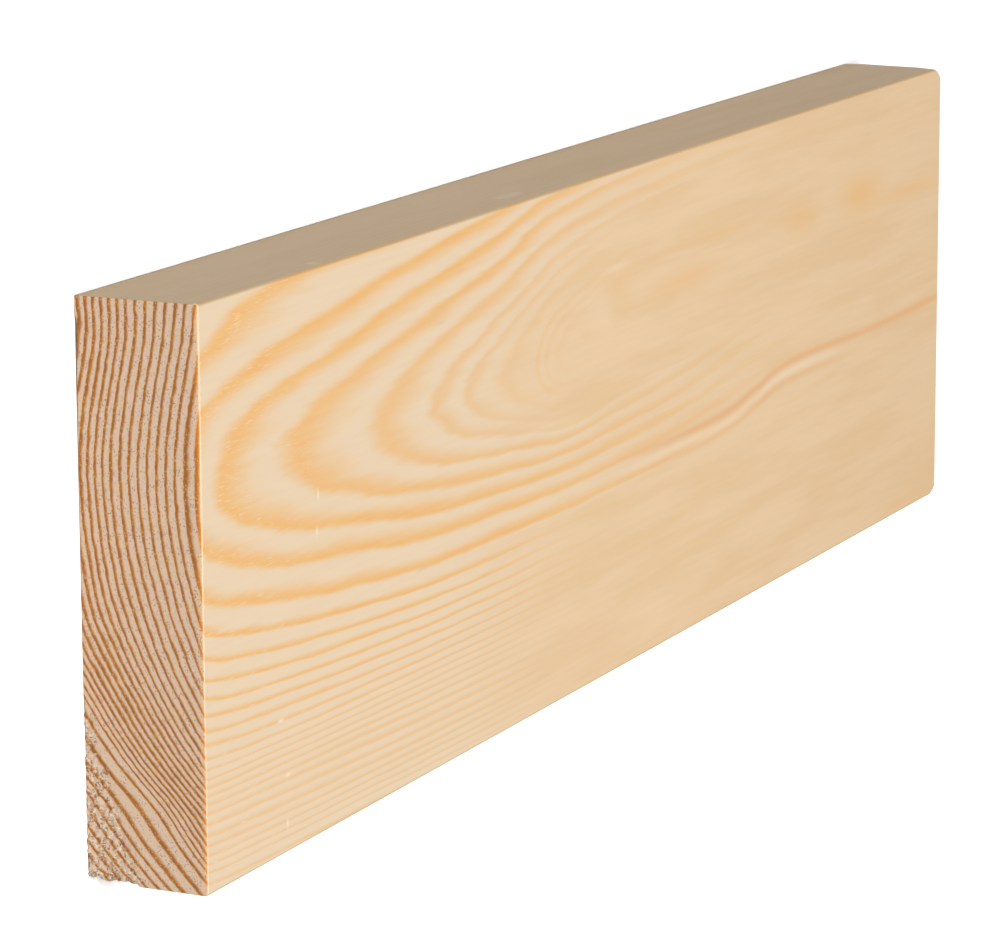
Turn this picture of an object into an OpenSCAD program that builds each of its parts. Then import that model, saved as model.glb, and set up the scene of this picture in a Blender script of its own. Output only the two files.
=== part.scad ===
// Short length of planed softwood board, lying flat.
// X runs along the grain, Y across the width, Z through the thickness.
// The origin is at the middle of the face that the board rests on.

/* [Board] */
// Length along the grain
board_length = 335; // [120:1:2400]
// Width across the grain
board_width = 95; // [45:1:225]
// Thickness
board_thickness = 22; // [14:1:50]

/* [Edges] */
// Radius that the planer leaves along the four long edges
arris_radius = 0.6; // [0.2:0.1:3]

/* [Worn end] */
// Radius of the rubbed corner on the left of the +X end
left_corner_radius = 2; // [0.5:0.5:15]
// Radius of the knocked corner on the right of the +X end
right_corner_radius = 4; // [0.5:0.5:15]

/* [Hidden] */
// Segments in a full circle
$fn = 96;
// How far a cutter runs past the faces that it cuts
overcut = 1;
// Freshly planed pine
pine_cream = [0.93, 0.84, 0.70];

// Cross-section of the board: a rectangle with its four corners eased
module planed_section(across, through, radius) {
    square([across - 2 * radius, through], center = true);
    square([across, through - 2 * radius], center = true);
    for (side = [-1, 1], face = [-1, 1])
        translate([side * (across / 2 - radius), face * (through / 2 - radius)])
            circle(r = radius);
}

// Full length of the section, laid along X with its lower face at Z = 0
module sawn_length() {
    translate([0, 0, board_thickness / 2])
        rotate([90, 0, 90])
            linear_extrude(height = board_length, center = true)
                planed_section(board_width, board_thickness, arris_radius);
}

// What is missing outside a rounded corner of the +X end, seen from above;
// side is 1 for the left corner and -1 for the right one
module corner_waste(side, radius) {
    translate([board_length / 2 - radius, side * (board_width / 2 - radius), -overcut])
        linear_extrude(height = board_thickness + 2 * overcut)
            difference() {
                translate([0, side > 0 ? 0 : -radius - overcut])
                    square(radius + overcut);
                circle(r = radius);
            }
}

module plank() {
    color(pine_cream)
        difference() {
            sawn_length();
            corner_waste(1, left_corner_radius);
            corner_waste(-1, right_corner_radius);
        }
}

plank();
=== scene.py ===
"""Short length of planed pine board: one sawn piece, its growth rings running right through it."""

import math
import random

import bmesh
import bpy
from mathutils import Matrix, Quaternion, Vector, noise


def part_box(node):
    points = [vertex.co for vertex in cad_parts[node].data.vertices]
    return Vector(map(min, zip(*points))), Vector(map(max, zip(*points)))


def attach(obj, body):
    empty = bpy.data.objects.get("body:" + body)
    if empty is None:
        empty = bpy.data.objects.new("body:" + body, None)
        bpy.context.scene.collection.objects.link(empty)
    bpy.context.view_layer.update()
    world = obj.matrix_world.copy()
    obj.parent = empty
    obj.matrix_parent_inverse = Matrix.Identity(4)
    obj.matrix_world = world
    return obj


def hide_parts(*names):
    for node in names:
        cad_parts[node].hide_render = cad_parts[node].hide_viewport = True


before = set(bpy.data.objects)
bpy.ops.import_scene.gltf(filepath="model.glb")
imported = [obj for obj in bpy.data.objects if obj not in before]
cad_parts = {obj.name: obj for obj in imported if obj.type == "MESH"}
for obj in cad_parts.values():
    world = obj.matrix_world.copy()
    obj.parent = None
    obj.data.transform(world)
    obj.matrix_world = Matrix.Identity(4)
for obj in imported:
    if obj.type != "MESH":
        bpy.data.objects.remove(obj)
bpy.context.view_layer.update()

MM = 0.001
LOW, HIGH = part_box("plank")
CENTRE = (LOW + HIGH) / 2
SIZE = HIGH - LOW

# ---------------------------------------------------------------- shape of the board, in metres
ARRIS_RADIUS = 0.6 * MM
END_EASING = 0.2 * MM
RIGHT_CORNER_RADIUS = 4 * MM
# The left corner of the far end is worn unevenly: (height, radius) in millimetres, from the top down.
LEFT_CORNER_WEAR = ((22.0, 5.0), (17.0, 2.8), (9.0, 2.2), (4.0, 1.4), (0.0, 3.0))
FAR_EDGE_WEAR = 1.3 * MM
# Where the grid of faces has its rows, from an edge inwards.
ARRIS_ROWS = (0.25 * ARRIS_RADIUS, 0.6 * ARRIS_RADIUS, ARRIS_RADIUS)
FINE_ROW = 0.5 * MM
ROWS_BEGIN = END_EASING + 0.1 * MM
FIRST_ROW = 0.3 * MM
ROW_GROWTH = 1.25
LONGEST_ROW = 12 * MM
CORNER_STEPS = 6
# Vertices nearer to one another than this count as being in one place.
TOUCHING = 1e-6


def cut_across(bm, axis, places):
    """Cuts the whole mesh by planes square to one axis."""
    for place in places:
        point = Vector((0, 0, 0))
        point[axis] = place
        normal = Vector((0, 0, 0))
        normal[axis] = 1
        geometry = bm.verts[:] + bm.edges[:] + bm.faces[:]
        bmesh.ops.bisect_plane(bm, geom=geometry, dist=TOUCHING / 10, plane_co=point, plane_no=normal)


def divide_along(bm, axis, row):
    """Divides the long middle edges that run along one axis into rows of about the given size."""
    shortest = 0.5 * SIZE[axis]
    edges = [e for e in bm.edges if abs(e.verts[0].co[axis] - e.verts[1].co[axis]) > shortest]
    cuts = round(edges[0].calc_length() / row) - 1
    bmesh.ops.subdivide_edges(bm, edges=edges, cuts=cuts, use_grid_fill=True)


def lengthwise_places():
    """Rows along the grain: close together at both ends, far apart between them."""
    largest_wear = LEFT_CORNER_WEAR[0][1] * MM
    places = [LOW.x + ROWS_BEGIN]
    row = FIRST_ROW
    while places[-1] + row < HIGH.x - largest_wear - LONGEST_ROW / 2:
        places.append(places[-1] + row)
        row = min(row * ROW_GROWTH, LONGEST_ROW)
    for step in range(CORNER_STEPS):
        angle = 0.5 * math.pi * step / CORNER_STEPS
        for radius in (FAR_EDGE_WEAR, RIGHT_CORNER_RADIUS, largest_wear):
            places.append(HIGH.x - radius * (1 - math.sin(angle)))
    return places


def gridded_block():
    """The board's box, its end edges eased, with rows of faces for its arrises and sawn ends."""
    bm = bmesh.new()
    bmesh.ops.create_cube(bm, size=1)
    bmesh.ops.scale(bm, vec=SIZE, verts=bm.verts)
    bmesh.ops.translate(bm, vec=CENTRE, verts=bm.verts)
    end_edges = [e for e in bm.edges if abs(e.verts[0].co.x - e.verts[1].co.x) < TOUCHING]
    # The edge where the saw broke out stays sharp.
    broken_out = [e for e in end_edges if all(v.co.x < CENTRE.x and v.co.z < CENTRE.z for v in e.verts)]
    eased = [e for e in end_edges if e not in broken_out]
    bmesh.ops.bevel(bm, geom=eased, offset=END_EASING, segments=2, profile=0.5, affect="EDGES",
                    material=-1)
    for axis in (1, 2):
        cut_across(bm, axis, [LOW[axis] + row for row in ARRIS_ROWS])
        cut_across(bm, axis, [HIGH[axis] - row for row in ARRIS_ROWS])
    cut_across(bm, 0, lengthwise_places())
    for axis in (1, 2):
        divide_along(bm, axis, FINE_ROW)
    return bm


def round_arrises(bm):
    """Rolls the four long edges over to the planer's radius."""
    for vertex in bm.verts:
        inner = vertex.co.copy()
        for axis in (1, 2):
            nearest, furthest = LOW[axis] + ARRIS_RADIUS, HIGH[axis] - ARRIS_RADIUS
            inner[axis] = min(max(inner[axis], nearest), furthest)
        outwards = vertex.co - inner
        if outwards.length > ARRIS_RADIUS:
            vertex.co = inner + outwards.normalized() * ARRIS_RADIUS


def between(points, place):
    """Straight-line reading of listed points (place, value), places in falling order."""
    for (p1, v1), (p2, v2) in zip(points, points[1:]):
        if place >= p2:
            return v1 + (v2 - v1) * min(max((place - p1) / (p2 - p1), 0), 1)
    return points[-1][1]


def wear_far_end(bm):
    """Draws the last few millimetres of the board in, round its worn corners and edges."""
    for vertex in bm.verts:
        left = vertex.co.y > CENTRE.y
        up = (vertex.co.z - LOW.z) / MM
        corner_radius = between(LEFT_CORNER_WEAR, up) * MM if left else RIGHT_CORNER_RADIUS
        for axis, radius in ((1, corner_radius), (2, FAR_EDGE_WEAR)):
            half = SIZE[axis] / 2
            past = vertex.co.x - (HIGH.x - radius)
            if past > 0:
                reach = half - radius + math.sqrt(max(radius ** 2 - past ** 2, 0))
                vertex.co[axis] = CENTRE[axis] + (vertex.co[axis] - CENTRE[axis]) * reach / half


# ---------------------------------------------------------------- wear left by the saw, in millimetres
# The saw broke out through the underside: how far up its edge is lost, (place across, height).
HIDDEN_EDGE_LOSS = ((47.5, 0.0), (44.8, 0.05), (43.0, 0.55), (36.0, 0.3), (20.0, 0.12), (-47.5, 0.12))
# Fibre tufts still stand on the right-hand part of that edge.
TUFT_SPACING = 3.8
TUFT_UNEVENNESS = (0.7, 1.3)
TUFT_REACHES = (0.6, 1.1)
TUFT_SEED = 11
FIRST_TUFT, LAST_TUFT = -1.0, -43.0
# Splintering of that edge: where it begins across, a splinter's breadth, how strongly it varies the loss.
SPLINTERS_BEGIN, SPLINTER_BREADTH, SPLINTER_SHARE = -6.0, 0.55, 1.3
LEAST_SPLINTER = 0.5
LOSS_REACH = 6.0
LOSS_HEIGHT = 1.0
# The right-hand corner is torn: its outline is toothed up to this height.
TOOTH_HEIGHT = 9.5
TOOTH_DEPTH = 1.7
# One longer splinter stands at this height: (height, half breadth).
SPLINTER = (3.9, 0.55)
LEAST_TOOTH, TOOTH_STEEPNESS = 0.1, 2.4
LEAST_BY_SPLINTER = 0.25
TEETH_FADE = 1.5
TOOTH_SPACING = 0.6
TOOTH_REACH = 2.4
SIDE_REACH = 1.5
CORNER_LOSS, CORNER_DRAW = 1.1, 0.45
# The torn part of the sawn end: where it begins across, its outline's height there, its climb and wander.
TEAR_BEGINS, TEAR_OUTLINE_BEGINS = -17.0, -19.0
TEAR_HEIGHT, TEAR_CLIMB, TEAR_WANDER, TEAR_SOFTNESS = 1.2, 0.33, 1.2, 1.6
TEAR_WAVES = 0.35
PIT_DEPTH, PIT_BIAS = 0.3, 0.35
PIT_SIZE, FINE_PIT_SIZE = 0.7, 1 / 2.6
SAW_DEPTH = 0.035
# The saw's strokes run nearly upright: waves per millimetre across, their slant, waves per millimetre up.
STROKES_ACROSS, STROKES_SLANT, STROKES_UP = 0.9, 0.25, 0.08
# In the noise calls below, a number that stands alone only picks another pattern.


def standing_tufts():
    """Places across of the tufts, with the reach of each, spaced a little unevenly."""
    random.seed(TUFT_SEED)
    tufts, place = [], FIRST_TUFT
    while place > LAST_TUFT:
        tufts.append((place, random.uniform(*TUFT_REACHES)))
        place -= TUFT_SPACING * random.uniform(*TUFT_UNEVENNESS)
    return tufts


def torn_share(across, up):
    """1 well inside the torn corner of the sawn end, 0 outside it; millimetres."""
    if across >= TEAR_BEGINS:
        return 0.0
    wander = TEAR_WANDER * noise.noise((across * TEAR_WAVES, up * TEAR_WAVES, 4.0))
    outline = TEAR_HEIGHT + TEAR_CLIMB * (TEAR_OUTLINE_BEGINS - across) + wander
    return min(max((outline - up) / TEAR_SOFTNESS, 0), 1)


def pitting(across, up):
    """Uneven relief of torn fibres, coarse with fine on top of it."""
    coarse = noise.noise((across / PIT_SIZE, up / PIT_SIZE, 1.5))
    fine = noise.noise((across / FINE_PIT_SIZE, up / FINE_PIT_SIZE, 9.0))
    return PIT_BIAS + max(coarse + 0.5 * fine, -PIT_BIAS)


def edge_loss(across, tufts):
    """How far up the hidden edge is lost at a place across it."""
    loss = between(HIDDEN_EDGE_LOSS, across)
    for place, reach in tufts:
        if abs(across - place) < reach:
            loss *= ((across - place) / reach) ** 2
    if across < SPLINTERS_BEGIN:
        splinter = abs(noise.noise((across / SPLINTER_BREADTH, 3.0, 8.0)))
        loss *= LEAST_SPLINTER + SPLINTER_SHARE * 2 * splinter
    return loss


def tooth_share(up):
    """How much of a tooth's depth is lost from the torn corner's outline at a height."""
    tooth = LEAST_TOOTH + abs(noise.noise((up / TOOTH_SPACING, 7.0, 2.0))) * TOOTH_STEEPNESS
    tooth = min(tooth, 1) * min(1, (TOOTH_HEIGHT - up) / TEETH_FADE)
    height, half_breadth = SPLINTER
    return min(abs(up - height) / half_breadth, 1) * max(tooth, LEAST_BY_SPLINTER)


def saw_sawn_end(bm):
    """Gives the near end its saw relief, torn fibres and broken hidden edge."""
    tufts = standing_tufts()
    for vertex in bm.verts:
        along = (vertex.co.x - LOW.x) / MM
        across, up = (vertex.co.y - CENTRE.y) / MM, (vertex.co.z - LOW.z) / MM
        if along > max(LOSS_REACH, TOOTH_REACH):
            continue
        fading = max(1 - along / LOSS_REACH, 0)
        strokes = noise.noise((across * STROKES_ACROSS + up * STROKES_SLANT, up * STROKES_UP, 20.0))
        inwards = torn_share(across, up) * PIT_DEPTH * pitting(across, up) + SAW_DEPTH * (1 + strokes) / 2
        if along < END_EASING / MM:
            vertex.co.x += inwards * MM
        rise = max(1 - up / LOSS_HEIGHT, 0)
        vertex.co.z += edge_loss(across, tufts) * rise * fading * MM
        if up < TOOTH_HEIGHT:
            from_side = max(1 - (vertex.co.y - LOW.y) / (SIDE_REACH * MM), 0)
            from_end = max(1 - along / TOOTH_REACH, 0)
            vertex.co.y += TOOTH_DEPTH * tooth_share(up) * from_side * from_end * MM
        corner = CORNER_LOSS - math.hypot(up, (vertex.co.y - LOW.y) / MM)
        if corner > 0:
            vertex.co.y += CORNER_DRAW * corner * fading * MM
            vertex.co.z += CORNER_DRAW * corner * fading * MM


# Layout for baked colour: the share of the sheet that the board's length takes, the gap between sides,
# and how much larger than the long sides the two sawn ends are drawn.
BAKE_LENGTH, BAKE_GAP = 0.98, 0.004
NEAR_END_ENLARGED, FAR_END_ENLARGED = 3.2, 1.3


def lay_out_bake_map(bm):
    """Flat layout of the six sides for baked colour, the near sawn end drawn largest."""
    layer = bm.loops.layers.uv.new("OFBake")
    long_scale = BAKE_LENGTH / SIZE.x
    near_scale, far_scale = NEAR_END_ENLARGED * long_scale, FAR_END_ENLARGED * long_scale
    heights = [SIZE.y * long_scale, SIZE.y * long_scale, SIZE.z * long_scale, SIZE.z * long_scale,
               SIZE.z * near_scale, SIZE.z * far_scale]
    starts = [BAKE_GAP + sum(heights[:n]) + BAKE_GAP * n for n in range(len(heights))]
    # Sides 0 and 1 are the top and the underside, 2 and 3 the two edges, 4 and 5 the two sawn ends.
    for face in bm.faces:
        normal = face.normal
        axis = max(range(3), key=lambda n: abs(normal[n]))
        if axis == 0:
            side, scale, u_axis, v_axis = (4, near_scale, 1, 2) if normal.x < 0 else (5, far_scale, 1, 2)
        elif axis == 1:
            side, scale, u_axis, v_axis = (2 if normal.y > 0 else 3), long_scale, 0, 2
        else:
            side, scale, u_axis, v_axis = (0 if normal.z > 0 else 1), long_scale, 0, 1
        for loop in face.loops:
            place = loop.vert.co
            loop[layer].uv = (BAKE_GAP + (place[u_axis] - LOW[u_axis]) * scale,
                              starts[side] + (place[v_axis] - LOW[v_axis]) * scale)


# A face turned further than this towards either end takes the sawn finish.
SAWN_FACE_TURN = 0.7


def plank_mesh():
    """The whole board: block, arrises, worn far end, the two finishes' faces, saw damage."""
    bm = gridded_block()
    near_end = [e for e in bm.edges if all(v.co.x < LOW.x + TOUCHING for v in e.verts)]
    bmesh.ops.subdivide_edges(bm, edges=near_end, cuts=1, use_grid_fill=True)
    round_arrises(bm)
    wear_far_end(bm)
    bmesh.ops.recalc_face_normals(bm, faces=bm.faces)
    for face in bm.faces:
        face.smooth = True
        face.material_index = 1 if abs(face.normal.x) > SAWN_FACE_TURN else 0
    lay_out_bake_map(bm)
    saw_sawn_end(bm)
    mesh = bpy.data.meshes.new("plank_wood")
    bm.to_mesh(mesh)
    bm.free()
    return mesh


# ---------------------------------------------------------------- wiring helpers for the finishes
class Wiring:
    """Adds nodes to one node tree; a value may be a number or another node's output."""

    def __init__(self, tree):
        self.tree = tree

    def node(self, kind, properties=None, inputs=None):
        node = self.tree.nodes.new(kind)
        for name, value in (properties or {}).items():
            setattr(node, name, value)
        for name, value in (inputs or {}).items():
            self.feed(node.inputs[name], value)
        return node

    def feed(self, socket, value):
        if isinstance(value, bpy.types.NodeSocket):
            self.tree.links.new(value, socket)
        else:
            socket.default_value = value

    def math(self, operation, *values):
        return self.node("ShaderNodeMath", {"operation": operation}, dict(enumerate(values))).outputs[0]

    def product(self, *values):
        result = values[0]
        for value in values[1:]:
            result = self.math("MULTIPLY", result, value)
        return result

    def vector_math(self, operation, first, second):
        node = self.node("ShaderNodeVectorMath", {"operation": operation}, {0: first, 1: second})
        return node.outputs[0]

    def ramp(self, value, start, stop, low=0.0, high=1.0, smooth=True):
        """Rises from low to high while the value goes from start to stop."""
        properties = {"interpolation_type": "SMOOTHSTEP" if smooth else "LINEAR"}
        inputs = {"Value": value, "From Min": start, "From Max": stop, "To Min": low, "To Max": high}
        return self.node("ShaderNodeMapRange", properties, inputs).outputs["Result"]

    def curve(self, value, points, straight=False):
        """A curve through points (place, height), in any units; straight joins them by lines."""
        places, heights = [p for p, _ in points], [h for _, h in points]
        start, stop, low, high = min(places), max(places), min(heights), max(heights)
        share = self.ramp(value, start, stop, smooth=False)
        node = self.node("ShaderNodeFloatCurve", inputs={"Value": share})
        line = node.mapping.curves[0]
        scaled = [((p - start) / (stop - start), (h - low) / (high - low)) for p, h in points]
        line.points[0].location = scaled[0]
        line.points[1].location = scaled[-1]
        for place in scaled[1:-1]:
            line.points.new(*place)
        for point in line.points:
            point.handle_type = "VECTOR" if straight else "AUTO"
        node.mapping.update()
        return self.ramp(node.outputs[0], 0.0, 1.0, low, high, smooth=False)

    def bell(self, value, middle, reach):
        """1 at the middle, fading smoothly to nothing at about twice the reach."""
        offset = self.math("DIVIDE", self.math("SUBTRACT", value, middle), reach)
        return self.math("EXPONENT", self.math("MULTIPLY", self.math("MULTIPLY", offset, offset), -1.0))

    def noise(self, vector, scale, detail=2.0, roughness=0.5):
        """Noise from 0 to 1; scale is how many waves a millimetre holds along, across and up."""
        stretched = self.vector_math("MULTIPLY", vector, scale)
        inputs = {"Vector": stretched, "Scale": 1.0, "Detail": detail, "Roughness": roughness}
        return self.node("ShaderNodeTexNoise", {"noise_dimensions": "3D"}, inputs).outputs[0]

    def mix(self, share, first, second):
        """A colour between two; the node takes its colours at inputs 6 and 7."""
        node = self.node("ShaderNodeMix", {"data_type": "RGBA"}, {0: share, 6: first, 7: second})
        return node.outputs[2]

    def tint(self, colour, amount):
        """Multiplies a colour by a value."""
        joined = self.node("ShaderNodeCombineXYZ", inputs={0: amount, 1: amount, 2: amount})
        return self.vector_math("MULTIPLY", colour, joined.outputs[0])

    def axes(self, place):
        return self.node("ShaderNodeSeparateXYZ", inputs={0: place}).outputs

    def spot(self, place, middle, reach):
        """A soft oval spot, 1 at its middle."""
        offset = self.vector_math("DIVIDE", self.vector_math("SUBTRACT", place, middle), reach)
        length = self.node("ShaderNodeVectorMath", {"operation": "DOT_PRODUCT"}, {0: offset, 1: offset})
        return self.math("EXPONENT", self.math("MULTIPLY", length.outputs["Value"], -1.0))


def new_group(name, inputs, outputs):
    """A shader node group with named sockets; each input is (label, kind, starting value)."""
    tree = bpy.data.node_groups.new(name, "ShaderNodeTree")
    for label, kind, start in inputs:
        socket = tree.interface.new_socket(name=label, in_out="INPUT", socket_type=kind)
        if start is not None:
            socket.default_value = start
    for label, kind in outputs:
        tree.interface.new_socket(name=label, in_out="OUTPUT", socket_type=kind)
    entry = tree.nodes.new("NodeGroupInput")
    exit_node = tree.nodes.new("NodeGroupOutput")
    return Wiring(tree), entry.outputs, exit_node.inputs


def place_group(wiring, tree, inputs):
    """Places a node group in a material with its own values; gives its outputs."""
    node = wiring.tree.nodes.new("ShaderNodeGroup")
    node.node_tree = tree
    for name, value in inputs.items():
        wiring.feed(node.inputs[name], value)
    return node.outputs


# The studio light shows a finish this much brighter than it is.
STUDIO_GAIN = 1.27


def display_colour(red, green, blue):
    """A colour as a screen should show it, 0 to 255, turned into the finish's own colour."""
    def light(value):
        value /= 255
        value = value / 12.92 if value <= 0.04045 else ((value + 0.055) / 1.055) ** 2.4
        return value / STUDIO_GAIN
    return (light(red), light(green), light(blue), 1.0)


NUMBER, PLACE = "NodeSocketFloat", "NodeSocketVector"

# ---------------------------------------------------------------- how the tree grew, in millimetres
# At the sawn end the rings hang like shallow bowls below this place across the board.
CUP_MIDDLE, CUP = 20.0, 0.0079
BOARD_THICKNESS, HALF_WIDTH, HALF_LENGTH = SIZE.z / MM, SIZE.y / 2 / MM, SIZE.x / 2 / MM
# Away from the sawn end the rings rise: (place along the board, rise), at its middle and at its left.
MIDDLE_LIFT = ((-170, 0), (-158, 1.2), (-118, 3.1), (-50, 5.0), (0, 5.3), (80, 3.5), (170, 3.1))
LEFT_LIFT = ((-170, 0), (-150, 1.3), (-110, 2.7), (-66, 4.5), (-20, 7.1), (30, 8.0), (170, 8.2))
LEFT_LIFT_BEGINS, LEFT_LIFT_COMPLETE = 5.0, 38.0
# Towards the right-hand edge only a share of that rise is left.
RIGHT_SHARE, RIGHT_SHARE_ENDS, WHOLE_RISE_BEGINS = 0.58, -36.0, -12.0
# A crest runs along the middle: (place along, height), (place along, middle across).
CREST = ((-170, 0.1), (-102, 0.55), (-70, 1.5), (-46, 2.8), (-20, 5.3), (20, 5.4), (170, 4.6))
CREST_ACROSS = ((-170, 15), (-50, 15), (0, 20), (100, 25), (170, 25))
CREST_REACH = 12.0
# Each burl lifts the rings round it: (place along, across, up), (reach along, across, up), rise.
BURLS = (
    ((-167, -34, 16), (200, 5.5, 30), -1.3),
    ((-167, -5, 1), (400, 10, 8), 1.1),
    ((-110, -14, 11), (90, 12, 60), 0.55),
    ((-167, 52, 0), (90, 8, 30), 4.4),
)
# Runs of alike years, from the topmost down: (how many years, how wide each grew).
OLDEST_DEPTH, OLDEST_YEAR = -14.2, -12
GROWTH_RUNS = ((4, 1.15), (2, 0.8), (1, 1.6), (2, 0.85), (3, 1.36), (1, 1.5), (1, 2.0), (8, 1.64),
               (8, 1.4), (4, 1.22), (1, 2.0), (2, 3.3), (6, 2.2))
# How far slow waves and ripples move a ring.
SLOW_WAVE, RIPPLE = 0.5, 0.35
# (year, share of that year's width that is dark late growth)
LATE_GROWTH = ((-12, 0.28), (1, 0.38), (3, 0.22), (11, 0.24), (17, 0.34), (24, 0.23), (31, 0.28))


def years_by_depth():
    """Points (depth below the first ring, years of growth), one at the end of each run."""
    depth, year = OLDEST_DEPTH, OLDEST_YEAR
    points = [(depth, year)]
    for count, width in GROWTH_RUNS:
        depth, year = depth + count * width, year + count
        points.append((depth, year))
    return points


def growth_ring_group():
    """Which year's wood a point lies in, and how far through that year's growth it is."""
    inputs = [("Place", PLACE, None), ("Raggedness", NUMBER, 0.3)]
    w, given, result = new_group("growth rings", inputs, [("Year", NUMBER), ("Season", NUMBER)])
    place = given["Place"]
    axes = w.axes(place)
    along, across, up = axes[0], axes[1], axes[2]
    sideways = w.math("SUBTRACT", across, CUP_MIDDLE)
    cup = w.product(sideways, sideways, CUP)
    depth = w.math("ADD", w.math("SUBTRACT", BOARD_THICKNESS, up), cup)

    middle_lift, left_lift = w.curve(along, MIDDLE_LIFT), w.curve(along, LEFT_LIFT)
    turn = w.ramp(across, LEFT_LIFT_BEGINS, LEFT_LIFT_COMPLETE)
    lift = w.math("ADD", middle_lift, w.product(w.math("SUBTRACT", left_lift, middle_lift), turn))
    lift = w.product(lift, w.ramp(across, RIGHT_SHARE_ENDS, WHOLE_RISE_BEGINS, RIGHT_SHARE, 1.0))
    crest = w.product(w.bell(across, w.curve(along, CREST_ACROSS), CREST_REACH), w.curve(along, CREST))
    depth = w.math("SUBTRACT", w.math("SUBTRACT", depth, lift), crest)
    for middle, reach, rise in BURLS:
        depth = w.math("SUBTRACT", depth, w.product(w.spot(place, middle, reach), rise))

    slow = w.math("SUBTRACT", w.noise(place, (0.03, 0.11, 0.11), detail=3.0), 0.5)
    ripple = w.math("SUBTRACT", w.noise(place, (0.09, 0.55, 0.55), detail=2.0), 0.5)
    ragged = w.math("SUBTRACT", w.noise(place, (0.12, 3.0, 3.0), detail=2.0), 0.5)
    for wave, height in ((slow, SLOW_WAVE), (ripple, RIPPLE), (ragged, given["Raggedness"])):
        depth = w.math("ADD", depth, w.product(wave, height))

    years = w.curve(depth, years_by_depth(), straight=True)
    w.feed(result["Year"], w.math("ADD", w.math("FLOOR", years), 1.0))
    w.feed(result["Season"], w.math("FRACT", years))
    return w.tree


# How soft the year's end is, as a share of how softly the late growth comes on.
YEAR_END_SOFTNESS = 0.9


def late_growth_group():
    """The dark late part of a year's growth: it comes on slowly and stops at the year's end."""
    inputs = [("Place", PLACE, None), ("Year", NUMBER, 0.0), ("Season", NUMBER, 0.0),
              ("Breadth", NUMBER, 1.0), ("Softness", NUMBER, 0.3)]
    w, given, result = new_group("late growth", inputs, [("Share", NUMBER)])
    patchy = w.noise(given["Place"], (0.02, 0.3, 0.3), detail=2.0)
    uneven = w.ramp(patchy, 0.25, 0.75, 0.75, 1.25, smooth=False)
    width = w.product(w.curve(given["Year"], LATE_GROWTH), given["Breadth"], uneven)
    soft = w.product(width, given["Softness"])
    middle = w.math("SUBTRACT", 1.0, width)
    start, full = w.math("SUBTRACT", middle, soft), w.math("ADD", middle, soft)
    stop = w.math("SUBTRACT", 1.0, w.product(soft, YEAR_END_SOFTNESS))
    coming_on = w.ramp(given["Season"], start, full)
    still_on = w.ramp(given["Season"], 1.0, stop)
    w.feed(result["Share"], w.product(coming_on, still_on))
    return w.tree


def fibre_group():
    """Streaks of fibre along the grain, from 0 to 1."""
    w, given, result = new_group("wood fibre", [("Place", PLACE, None)],
                                 [("Fine", NUMBER), ("Middling", NUMBER), ("Broad", NUMBER)])
    w.feed(result["Fine"], w.noise(given["Place"], (0.16, 4.5, 4.5), detail=4.0, roughness=0.65))
    w.feed(result["Middling"], w.noise(given["Place"], (0.05, 1.1, 1.1), detail=3.0, roughness=0.6))
    w.feed(result["Broad"], w.noise(given["Place"], (0.018, 0.16, 0.16), detail=3.0, roughness=0.55))
    return w.tree


def dot_group():
    """Scattered round dots on a sawn end: resin canals, pits and bright fibre ends."""
    inputs = [("Place", PLACE, None), ("Spacing", NUMBER, 0.6), ("Size", NUMBER, 0.12),
              ("Share", NUMBER, 0.5), ("Seed", NUMBER, 0.0)]
    w, given, result = new_group("scattered dots", inputs, [("Dot", NUMBER)])
    place = w.vector_math("MULTIPLY", given["Place"], (0.02, 1.0, 1.0))
    shift = w.node("ShaderNodeCombineXYZ", inputs={0: given["Seed"], 1: 0.0, 2: 0.0}).outputs[0]
    place = w.vector_math("ADD", place, shift)
    scale = w.math("DIVIDE", 1.0, given["Spacing"])
    cells = w.node("ShaderNodeTexVoronoi", {"feature": "F1", "voronoi_dimensions": "3D"},
                   {"Vector": place, "Scale": scale})
    size = w.math("MULTIPLY", given["Size"], scale)
    dot = w.ramp(cells.outputs["Distance"], size, w.math("MULTIPLY", size, 0.4))
    pick = w.node("ShaderNodeSeparateColor", inputs={0: cells.outputs["Color"]}).outputs[0]
    chosen = w.math("LESS_THAN", pick, given["Share"])
    w.feed(result["Dot"], w.math("MULTIPLY", dot, chosen))
    return w.tree


# ---------------------------------------------------------------- finishes
EARLY_GROWTH = display_colour(229, 205, 173)
LATE_GROWTH_COLOUR = display_colour(237, 187, 119)
RED_LATE_GROWTH = display_colour(236, 179, 113)
EVEN_LIGHT = display_colour(230, 199, 160)
EVEN_DEEP = display_colour(227, 193, 150)
AMBER = display_colour(229, 184, 128)
REDDISH_LINE = display_colour(226, 173, 121)
WHITISH = display_colour(240, 222, 194)
GREYISH = display_colour(204, 190, 166)
PINKISH = display_colour(244, 214, 184)
SAWN_EARLY = display_colour(227, 194, 170)
SAWN_EARLY_YELLOW = display_colour(223, 195, 163)
SAWN_LATE = display_colour(164, 98, 6)
SAWN_LATE_ORANGE = display_colour(184, 112, 14)
SAWN_DOT = display_colour(240, 188, 122)
SAWN_PIT = display_colour(124, 92, 68)
TORN_TUFT = display_colour(242, 228, 202)
# The next colour is painted shade for the torn corner's hollows.
TORN_HOLLOW_PAINTED_SHADE = display_colour(136, 82, 38)
ARRIS_LATE = display_colour(236, 138, 30)
ARRIS_PALE = display_colour(242, 221, 184)
ARRIS_CREAM = display_colour(246, 196, 138)
# (year, how strongly its late growth is coloured on the planed faces)
STRENGTH = ((-12, 0.75), (-6, 0.75), (-4.5, 0.5), (1, 1.0), (8, 0.8), (14, 0.55), (31, 0.5))
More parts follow.
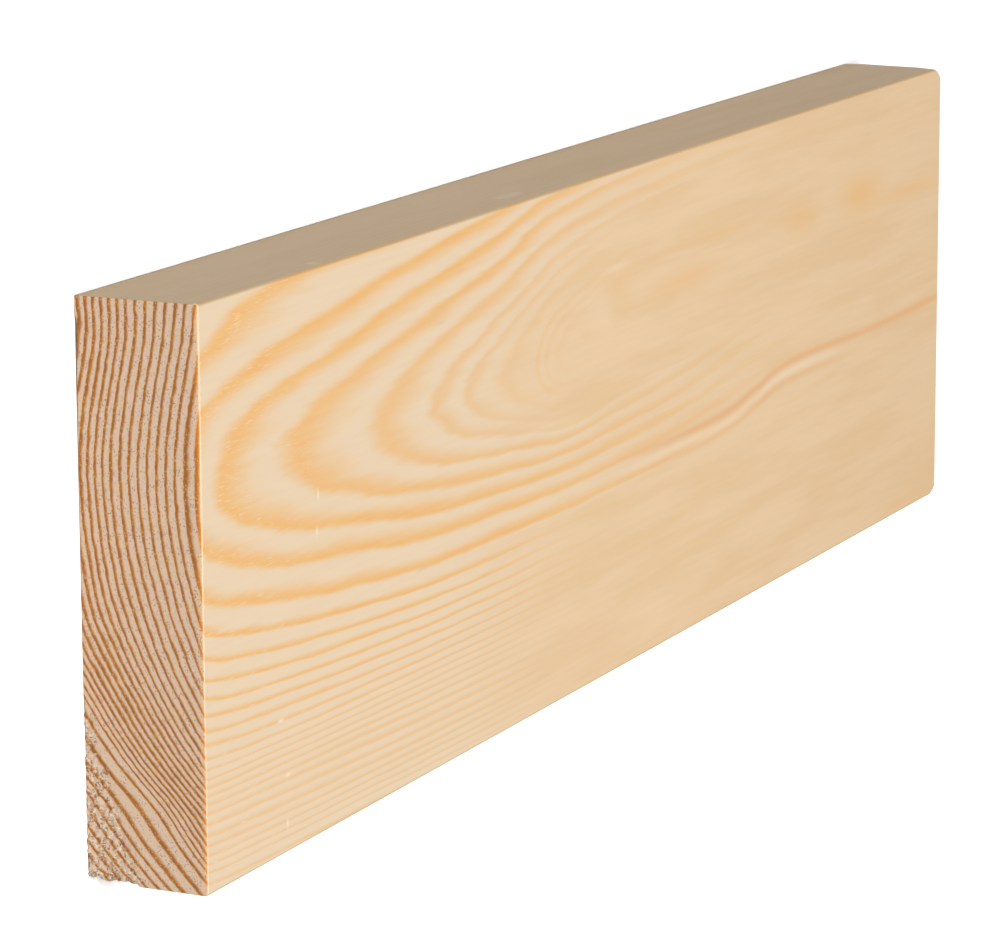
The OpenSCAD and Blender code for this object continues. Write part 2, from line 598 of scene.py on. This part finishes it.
# (place along the board, how clearly the rings show): most years, then the few strong years
MOST_YEARS_CLEAR = ((-170, 1.0), (-90, 1.0), (-60, 0.6), (-30, 0.12), (-10, 0.02), (170, 0.0))
STRONG_YEARS_CLEAR = ((-170, 1.0), (-60, 0.95), (-20, 0.65), (20, 0.4), (60, 0.15), (100, 0.0), (170, 0.0))
FIRST_STRONG_YEAR, LAST_STRONG_YEAR = -2, 2
# Left of the first place across the rings fade later along the board, from the second on by this much.
FADE_LATER_FROM, FADE_LATER_FULL, FADE_LATER_BY = 15.0, 40.0, 28.0
# Pinkish dashes of fibre: where along the board they begin and where they are at their full strength.
DASHES_BEGIN, DASHES_FULL = -115.0, -155.0
# Marks of the upper face end within the arris: below the first height nothing, above the second all.
FACE_BEGINS, FACE_FULL = BOARD_THICKNESS - 1.2, BOARD_THICKNESS - 0.6
# Soft marks on the planed face: (place along, across), (reach along, across), colour, strength.
FACE_MARKS = (
    ((25, 22.5), (18, 2.2), AMBER, 0.55),
    ((33, 28.8), (27, 0.8), AMBER, 0.4),
    ((84, 26), (10, 3.2), AMBER, 0.6),
    ((118, 26.3), (11, 4.2), AMBER, 0.8),
    ((148, 23), (22, 1.8), AMBER, 0.55),
    ((145, -45.5), (16, 1.3), AMBER, 0.4),
    ((-15, 21.5), (5, 3), WHITISH, 0.2),
    ((-9, 29.5), (5, 0.7), WHITISH, 0.4),
    ((-8, 24.5), (6, 4), AMBER, 0.35),
    ((-164, 10), (1.0, 0.7), GREYISH, 0.3),
    ((-90.6, -10.6), (1.6, 0.3), GREYISH, 0.5),
    ((-82.5, 31), (1.6, 0.3), GREYISH, 0.5),
    ((-128.4, 10), (0.3, 0.8), WHITISH, 1.0),
    ((-129, 3.8), (0.3, 0.8), WHITISH, 1.0),
    ((-142.5, -24.8), (0.9, 0.3), WHITISH, 1.0),
    ((-140.6, -42.5), (0.3, 0.8), WHITISH, 1.0),
    ((-140.2, -34.4), (0.9, 0.3), WHITISH, 1.0),
)
# One year's line goes on through the far half: (place along, across).
FAR_LINE = ((-10, -7.6), (32, -8.0), (60, -5.6), (85, -3.0), (120, -3.6), (168, -3.1))
FAR_LINE_BEGINS, FAR_LINE_FULL = -20.0, 30.0
# The bands of that line: (how far beside it, towards the right, half breadth, colour, strength).
FAR_LINE_BANDS = (
    (0.0, 0.9, REDDISH_LINE, 0.75),
    (1.9, 0.8, WHITISH, 0.35),
    (3.6, 0.7, REDDISH_LINE, 0.45),
)
SIDE_BANDS_FADE, SIDE_BANDS_END = 85.0, 125.0
FAR_SHADE = 0.96
MARK_DEPTH = 3.0
# Painted shade: the planed edges are coloured this much darker than the faces, standing in for the shade
# the light leaves on them: red, green, blue.
EDGE_PAINTED_SHADE = (0.73, 0.69, 0.57)
# Pale slivers on the left-hand edge: (place along, up), (reach along, up).
EDGE_SLIVERS = (((-125.4, 20.0), (1.5, 1.6)), ((-44.5, 17.0), (5.5, 1.6)))


def new_material(name):
    """An empty material: its wiring, its shader and the place on the board in millimetres."""
    material = bpy.data.materials.new(name)
    material.use_nodes = True
    tree = material.node_tree
    tree.nodes.clear()
    w = Wiring(tree)
    shader = w.node("ShaderNodeBsdfPrincipled")
    output = w.node("ShaderNodeOutputMaterial")
    tree.links.new(shader.outputs[0], output.inputs[0])
    place = w.vector_math("MULTIPLY", w.node("ShaderNodeTexCoord").outputs["Object"], (1 / MM,) * 3)
    return material, w, shader, place


def planed_pine(groups):
    """The planed faces and edges: rings that fade along the board, fibre, soft stains and nicks."""
    material, w, shader, place = new_material("planed pine")
    axes = w.axes(place)
    along, across, up = axes[0], axes[1], axes[2]
    rings = place_group(w, groups["rings"], {"Place": place, "Raggedness": 0.12})
    late = place_group(w, groups["late"], {"Place": place, "Year": rings["Year"], "Season": rings["Season"],
                                           "Breadth": 1.55, "Softness": 0.6})["Share"]
    fibre = place_group(w, groups["fibre"], {"Place": place})
    strength = w.curve(rings["Year"], STRENGTH)
    later = w.ramp(across, FADE_LATER_FROM, FADE_LATER_FULL, 0.0, FADE_LATER_BY)
    shifted = w.math("SUBTRACT", along, later)
    is_strong = w.product(w.math("GREATER_THAN", rings["Year"], FIRST_STRONG_YEAR - 0.5),
                          w.math("LESS_THAN", rings["Year"], LAST_STRONG_YEAR + 0.5))
    clear = w.math("MAXIMUM", w.curve(shifted, MOST_YEARS_CLEAR),
                   w.product(w.curve(along, STRONG_YEARS_CLEAR), is_strong))
    from_middle = w.math("ABSOLUTE", across)
    clear = w.product(clear, w.ramp(from_middle, HALF_WIDTH - 0.5, HALF_WIDTH, 1.0, 0.5))

    late_colour = w.mix(w.ramp(fibre["Middling"], 0.4, 0.7), LATE_GROWTH_COLOUR, RED_LATE_GROWTH)
    ringed = w.mix(w.product(late, strength), EARLY_GROWTH, late_colour)
    even = w.mix(w.ramp(fibre["Broad"], 0.38, 0.66), EVEN_LIGHT, EVEN_DEEP)
    colour = w.mix(clear, even, ringed)

    shade = w.math("ADD", w.ramp(fibre["Fine"], 0.25, 0.75, 0.985, 1.015, smooth=False),
                   w.ramp(fibre["Middling"], 0.25, 0.75, -0.02, 0.02, smooth=False))
    colour = w.tint(colour, shade)
    colour = w.tint(colour, w.ramp(along, 0.0, HALF_LENGTH, 1.0, FAR_SHADE))
    dashes = w.ramp(w.noise(place, (0.3, 5.0, 5.0), detail=1.0), 0.62, 0.68)
    near_end = w.ramp(along, DASHES_BEGIN, DASHES_FULL)
    colour = w.mix(w.product(dashes, near_end, late, 0.75), colour, PINKISH)
    for (mark_along, mark_across), (reach_along, reach_across), mark_colour, amount in FACE_MARKS:
        middle = (mark_along, mark_across, BOARD_THICKNESS)
        mark = w.spot(place, middle, (reach_along, reach_across, MARK_DEPTH))
        colour = w.mix(w.product(mark, amount), colour, mark_colour)
    beside_line = w.math("SUBTRACT", w.curve(along, FAR_LINE), across)
    on_top = w.ramp(up, FACE_BEGINS, FACE_FULL)
    going_on = w.product(w.ramp(along, FAR_LINE_BEGINS, FAR_LINE_FULL), on_top)
    for offset, breadth, band_colour, amount in FAR_LINE_BANDS:
        band = w.product(w.bell(beside_line, offset, breadth), going_on, amount)
        if offset > 0:
            band = w.product(band, w.ramp(along, SIDE_BANDS_END, SIDE_BANDS_FADE))
        colour = w.mix(band, colour, band_colour)
    for (mark_along, mark_up), (reach_along, reach_up) in EDGE_SLIVERS:
        mark = w.spot(place, (mark_along, HALF_WIDTH, mark_up), (reach_along, 1.0, reach_up))
        colour = w.mix(w.product(w.ramp(mark, 0.3, 0.7), 0.6), colour, WHITISH)

    # Painted shade: both planed edges take a darker, yellower tint than the faces.
    painted_edge_shade = w.ramp(from_middle, HALF_WIDTH - 0.6, HALF_WIDTH - 0.1)
    colour = w.mix(painted_edge_shade, colour, w.vector_math("MULTIPLY", colour, EDGE_PAINTED_SHADE))
    # Along the sawn end the face's arris is pale and fuzzy, more so on the left.
    breadth = w.ramp(across, -20.0, 20.0, 0.1, 0.55)
    fuzz = w.product(w.ramp(w.noise(place, (0.0, 1.3, 0.0), detail=3.0), 0.3, 0.7, 0.5, 1.2), breadth)
    fuzz = w.math("SUBTRACT", fuzz, HALF_LENGTH)
    near_arris = w.ramp(along, w.math("ADD", fuzz, 0.12), fuzz)
    # Painted shade: the face is coloured greyer along its worn far edge.
    far_edge_painted_shade = w.ramp(along, HALF_LENGTH - FAR_EDGE_WEAR / MM, HALF_LENGTH)
    colour = w.mix(w.product(far_edge_painted_shade, 0.7), colour, GREYISH)
    colour = w.mix(w.product(near_arris, on_top, 0.7), colour, ARRIS_PALE)
    w.feed(shader.inputs["Base Color"], colour)
    raised = w.product(late, clear)
    w.feed(shader.inputs["Roughness"], w.ramp(raised, 0.0, 1.0, 0.62, 0.5))
    height = w.math("ADD", w.math("MULTIPLY", raised, 0.3), fibre["Fine"])
    bump = w.node("ShaderNodeBump", inputs={"Strength": 0.25, "Distance": 0.03 * MM, "Height": height})
    w.feed(shader.inputs["Normal"], bump.outputs[0])
    return material


# The torn part's colour reaches up to the first height where it begins, to the second where it ends.
TORN_COLOUR_ENDS, TORN_COLOUR_HEIGHTS = -47.0, (0.6, 10.5)


def sawn_pine(groups):
    """The sawn ends: dark rings, resin canals, pits, and the torn corner's tufts and hollows, the hollows
    dark with painted shade.
    """
    material, w, shader, place = new_material("sawn pine end")
    axes = w.axes(place)
    along, across, up = axes[0], axes[1], axes[2]
    rings = place_group(w, groups["rings"], {"Place": place, "Raggedness": 0.22})
    late = place_group(w, groups["late"], {"Place": place, "Year": rings["Year"], "Season": rings["Season"],
                                           "Breadth": 1.7, "Softness": 0.36})["Share"]
    early = w.math("SUBTRACT", 1.0, late)
    bright = place_group(w, groups["dots"], {"Place": place, "Spacing": 0.45, "Size": 0.16,
                                             "Share": 0.7})["Dot"]
    pits = place_group(w, groups["dots"], {"Place": place, "Spacing": 0.34, "Size": 0.14, "Share": 0.85,
                                           "Seed": 5.0})["Dot"]
    grit = w.noise(place, (0.5, 5.0, 5.0), detail=3.0, roughness=0.7)
    mottle = w.noise(place, (0.05, 0.8, 0.8), detail=2.0)
    pale = w.mix(w.ramp(mottle, 0.35, 0.65), SAWN_EARLY, SAWN_EARLY_YELLOW)
    dark = w.mix(w.ramp(mottle, 0.4, 0.7), SAWN_LATE, SAWN_LATE_ORANGE)
    near_top = w.ramp(up, BOARD_THICKNESS - 1.1, BOARD_THICKNESS - 0.1)
    dark = w.mix(near_top, dark, ARRIS_LATE)
    pale = w.mix(w.product(near_top, 0.7), pale, ARRIS_CREAM)
    colour = w.mix(late, pale, dark)
    colour = w.tint(colour, w.ramp(grit, 0.25, 0.75, 0.9, 1.1, smooth=False))
    colour = w.mix(w.product(bright, late, 0.75), colour, SAWN_DOT)
    gathered = w.ramp(w.noise(place, (0.0, 0.45, 0.45), detail=2.0), 0.42, 0.58, 0.35, 1.0)
    colour = w.mix(w.product(pits, early, gathered), colour, SAWN_PIT)

    # Painted shade: the top of the far end, by its worn edge, is coloured greyer.
    near_far_top = w.ramp(up, BOARD_THICKNESS - 2.5, BOARD_THICKNESS - 0.5)
    far_end_top_painted_shade = w.product(w.math("GREATER_THAN", along, 0.0), near_far_top)
    colour = w.mix(w.product(far_end_top_painted_shade, 0.75), colour, GREYISH)

    outline = w.ramp(across, TEAR_OUTLINE_BEGINS, TORN_COLOUR_ENDS, *TORN_COLOUR_HEIGHTS, smooth=False)
    wander = w.ramp(w.noise(place, (0.0, 0.45, 0.45), detail=1.0), 0.2, 0.8, -1.5, 1.5)
    inside = w.math("SUBTRACT", w.math("ADD", outline, wander), up)
    at_corner = w.math("LESS_THAN", across, TEAR_BEGINS)
    torn = w.product(w.ramp(inside, 0.0, 1.2), at_corner, w.math("LESS_THAN", along, 0.0))
    tufts = w.ramp(w.noise(place, (0.6, 1.7, 1.5), detail=3.0, roughness=0.65), 0.53, 0.6)
    hollows = w.ramp(w.noise(place, (0.6, 2.1, 2.1), detail=3.0, roughness=0.6), 0.58, 0.64)
    colour = w.mix(w.product(torn, tufts, w.ramp(late, 0.3, 1.0, 0.85, 0.4)), colour, TORN_TUFT)
    # Painted shade: the torn corner's hollows are coloured dark brown.
    colour = w.mix(w.product(torn, hollows, 0.85), colour, TORN_HOLLOW_PAINTED_SHADE)
    w.feed(shader.inputs["Base Color"], colour)
    shader.inputs["Roughness"].default_value = 0.85
    height = w.math("ADD", grit, w.product(torn, w.math("SUBTRACT", tufts, hollows)))
    bump = w.node("ShaderNodeBump", inputs={"Strength": 0.4, "Distance": 0.08 * MM, "Height": height})
    w.feed(shader.inputs["Normal"], bump.outputs[0])
    return material


def plain_floor():
    material = bpy.data.materials.new("pale studio floor")
    material.use_nodes = True
    shader = material.node_tree.nodes["Principled BSDF"]
    shader.inputs["Base Color"].default_value = (0.95, 0.95, 0.95, 1)
    shader.inputs["Roughness"].default_value = 0.9
    shader.inputs["Specular IOR Level"].default_value = 0.1
    return material


# ---------------------------------------------------------------- the board
groups = {
    "rings": growth_ring_group(),
    "late": late_growth_group(),
    "fibre": fibre_group(),
    "dots": dot_group(),
}
plank = bpy.data.objects.new("plank_board", plank_mesh())
bpy.context.scene.collection.objects.link(plank)
plank.data.materials.append(planed_pine(groups))
plank.data.materials.append(sawn_pine(groups))
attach(plank, "root")
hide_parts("plank")


# ---------------------------------------------------------------- studio
def floor():
    bm = bmesh.new()
    bmesh.ops.create_circle(bm, cap_ends=True, segments=96, radius=12)
    mesh = bpy.data.meshes.new("studio_floor")
    bm.to_mesh(mesh)
    bm.free()
    piece = bpy.data.objects.new("studio_floor", mesh)
    bpy.context.scene.collection.objects.link(piece)
    mesh.materials.append(plain_floor())


def soft_light(name, place, aim, width, height, power):
    lamp = bpy.data.lights.new(name, "AREA")
    lamp.shape = "RECTANGLE"
    lamp.size, lamp.size_y = width, height
    lamp.energy = power
    light = bpy.data.objects.new(name, lamp)
    light.location = place
    light.rotation_mode = "QUATERNION"
    light.rotation_quaternion = (Vector(aim) - Vector(place)).to_track_quat("-Z", "Y")
    bpy.context.scene.collection.objects.link(light)


def studio_world(strength):
    world = bpy.data.worlds.new("studio")
    world.use_nodes = True
    background = world.node_tree.nodes["Background"]
    background.inputs[0].default_value = (1, 1, 1, 1)
    background.inputs[1].default_value = strength
    bpy.context.scene.world = world


def look_down_camera():
    """Looks down along the board from its sawn end, rolled so that the board's width is upright."""
    aim = Vector((CENTRE.x - 59.24 * MM, CENTRE.y + 0.24 * MM, HIGH.z))
    distance, elevation, azimuth, roll = 804.5 * MM, 24.82, -103.1, 95.3
    rise, turn = math.radians(elevation), math.radians(azimuth)
    back = Vector((math.sin(turn) * math.cos(rise), -math.cos(turn) * math.cos(rise), math.sin(rise)))
    lens = bpy.data.cameras.new("camera")
    lens.sensor_width = 36
    lens.lens = 163.67
    lens.clip_start, lens.clip_end = 0.01, 100
    camera = bpy.data.objects.new("camera", lens)
    camera.location = aim + back * distance
    camera.rotation_mode = "QUATERNION"
    level = (-back).to_track_quat("-Z", "Y")
    camera.rotation_quaternion = Quaternion(back, math.radians(roll)) @ level
    bpy.context.scene.collection.objects.link(camera)
    bpy.context.scene.camera = camera


floor()
look_down_camera()
soft_light("key", place=(-1.6, 0.35, 4.6), aim=(0, 0, 0), width=1.6, height=0.6, power=330)
studio_world(0.08)
scene = bpy.context.scene
scene.view_settings.view_transform = "Standard"
scene.view_settings.look = "None"
